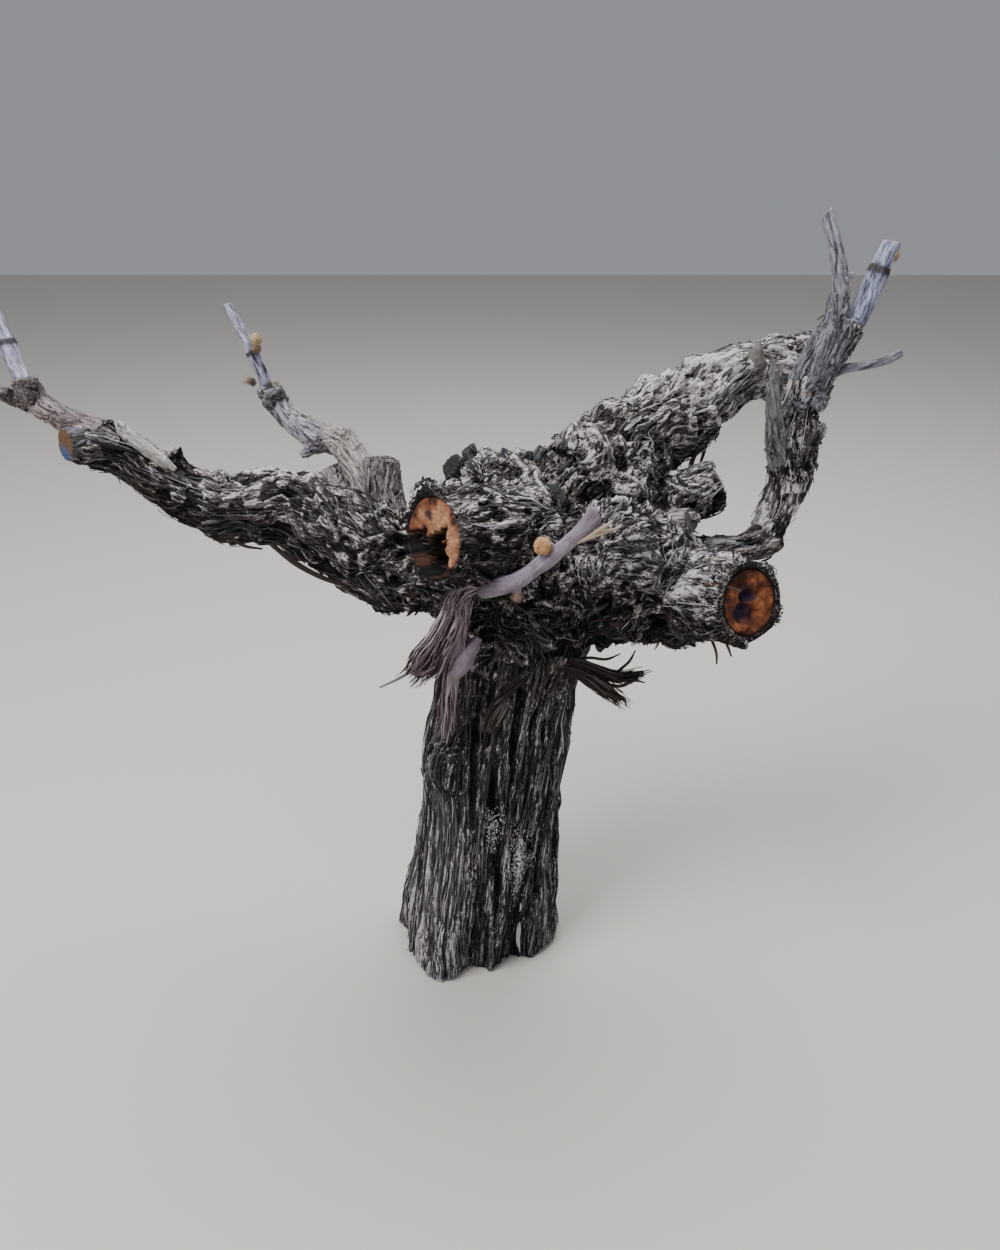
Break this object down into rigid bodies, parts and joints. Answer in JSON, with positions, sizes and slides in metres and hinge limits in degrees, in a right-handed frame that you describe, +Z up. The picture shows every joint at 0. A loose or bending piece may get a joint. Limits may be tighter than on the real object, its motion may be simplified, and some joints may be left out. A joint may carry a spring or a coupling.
{
  "type": "bare spur-pruned grapevine",
  "caption": "Old head-trained grapevine in winter: shaggy trunk, swollen head, gnarled arms, sawn stubs and short pruned canes with woolly buds.",
  "frame": {"origin": "middle of the flat cut under the trunk, at ground level", "axes": "+Z up out of the ground; -Y towards the front, where the two sawn stubs show; +X to the right arm, the way the trunk leans"},
  "size_m": [0.623, 0.2657, 0.5775],
  "materials": {
    "trunk_bark": "rough stringy bark",
    "old_bark": "flaking gnarled bark",
    "cut_wood": "weathered sawn end grain",
    "spur_wood": "weathered two-year wood",
    "cane": "smooth speckled cane",
    "peeled_bark": "loose fibrous bark"
  },
  "bodies": {
    "root": {"trunk": "trunk_bark", "head": "old_bark", "front_left_stub": "old_bark", "front_left_cut_wood": "cut_wood", "right_front_stub": "old_bark", "right_front_cut_wood": "cut_wood", "left_arm": "old_bark", "left_spur": "spur_wood", "left_cane": "cane", "upper_left_arm": "spur_wood", "upper_left_cane": "cane", "upper_left_stub": "old_bark", "back_left_stub": "spur_wood", "rear_arm": "old_bark", "right_knob": "old_bark", "right_small_stub": "old_bark", "right_arm_lower": "old_bark", "right_arm_upper": "old_bark", "front_spur": "spur_wood", "side_stub": "spur_wood", "left_upright_cane": "cane", "right_upright_cane": "cane", "side_shoot": "cane", "front_shoot": "cane", "hanging_bark": "peeled_bark", "bark_flap": "peeled_bark"}
  },
  "joints": []
}
